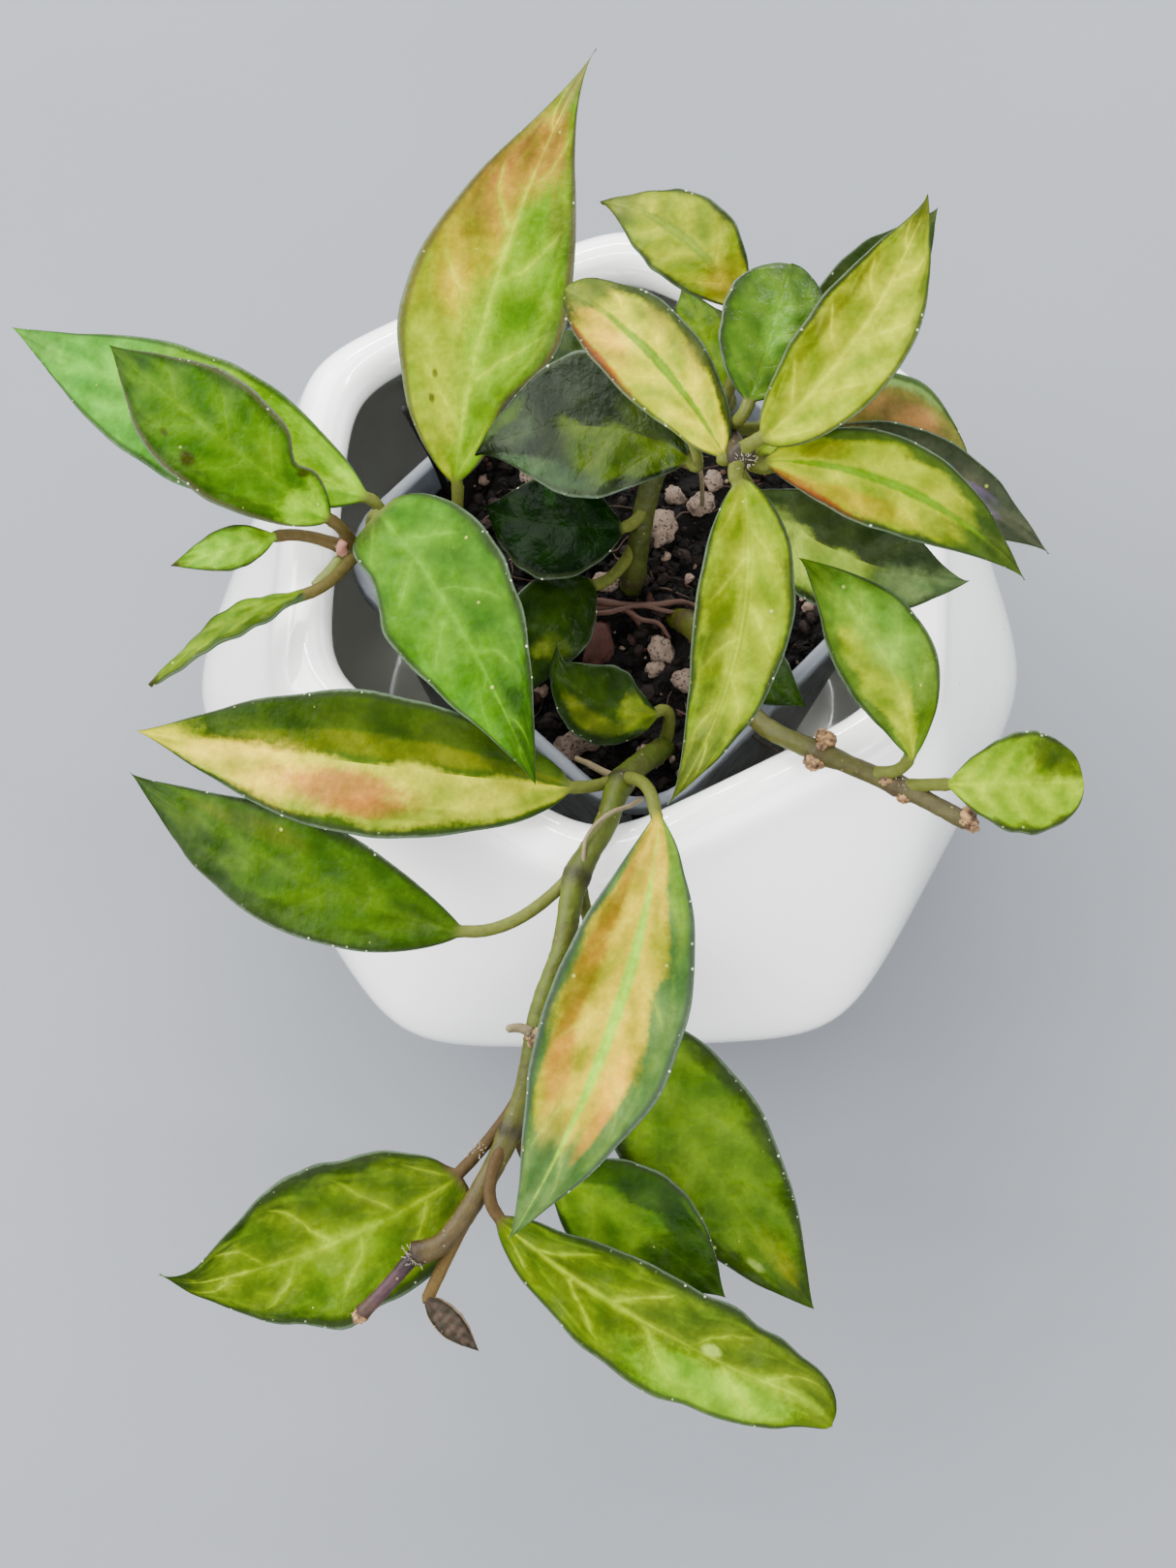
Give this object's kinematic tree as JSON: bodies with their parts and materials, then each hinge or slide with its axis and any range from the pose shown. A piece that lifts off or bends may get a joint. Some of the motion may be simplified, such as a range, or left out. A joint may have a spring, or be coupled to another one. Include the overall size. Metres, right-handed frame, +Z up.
{
  "type": "potted hoya plant",
  "caption": "Trailing waxy-leaved houseplant with variegated leaves, in a square grey nursery pot inside a white faceted glazed cachepot.",
  "frame": {"origin": "centre of the cachepot's flat underside, where it rests", "axes": "+Z up, -Y towards the front, where the long vine hangs over the lip, +X to the right seen from the front"},
  "size_m": [0.2142, 0.2586, 0.1913],
  "materials": {
    "white_glaze": "white gloss glaze",
    "grey_plastic": "thin moulded grey plastic, satin",
    "soil": "dark damp peat and bark mix",
    "pumice": "porous pinkish beige pumice",
    "bark": "red-brown bark and root",
    "dry_wood": "blackened dry twig",
    "green_stem": "smooth olive green stem, brown at the nodes",
    "old_stem": "older stem with tan callus at its scars",
    "purple_stalk": "dull purple stalk with pale fuzz",
    "brown_leaf": "dark brown unopened leaf with a waxy shine",
    "waxy_leaf": "thick waxy leaf, green margin with yellow, cream and pink centre, satin gloss"
  },
  "bodies": {
    "root": {"cachepot": "white_glaze", "nursery_pot": "grey_plastic", "pumice_stone_back": "pumice", "pumice_stone_middle": "pumice", "pumice_stone_right": "pumice", "pumice_stone_front": "pumice", "pumice_stone_left": "pumice", "bark_chunk": "bark", "potting_soil": "soil", "tall_stem": "green_stem", "left_stem": "green_stem", "right_stem": "old_stem", "front_vine": "green_stem", "flower_stalk": "purple_stalk", "dry_twig": "dry_wood", "surface_root": "bark", "crown_leaf_left": "waxy_leaf", "crown_leaf_round": "waxy_leaf", "crown_leaf_pale": "waxy_leaf", "crown_leaf_right": "waxy_leaf", "crown_leaf_front": "waxy_leaf", "crown_leaf_back": "waxy_leaf", "crown_leaf_shaded": "waxy_leaf", "crown_leaf_under": "waxy_leaf", "crown_leaf_right_under": "waxy_leaf", "crown_leaf_pink": "waxy_leaf", "crown_leaf_dark": "waxy_leaf", "inner_leaf_broad": "waxy_leaf", "inner_leaf_grey": "waxy_leaf", "inner_leaf_dark": "waxy_leaf", "inner_leaf_striped": "waxy_leaf", "inner_leaf_front": "waxy_leaf", "inner_leaf_right": "waxy_leaf", "left_leaf_tall": "waxy_leaf", "left_leaf_drooping": "waxy_leaf", "left_leaf_far": "waxy_leaf", "left_leaf_torn": "waxy_leaf", "left_leaf_small": "waxy_leaf", "left_leaf_narrow": "waxy_leaf", "right_leaf_upright": "waxy_leaf", "right_leaf_round": "waxy_leaf", "vine_leaf_pink": "waxy_leaf", "vine_leaf_orange": "waxy_leaf", "vine_leaf_left": "waxy_leaf", "vine_leaf_large": "waxy_leaf", "vine_leaf_end_left": "waxy_leaf", "vine_leaf_end_front": "waxy_leaf", "vine_leaf_end_under": "waxy_leaf", "vine_bud_leaf": "brown_leaf"}
  },
  "joints": []
}
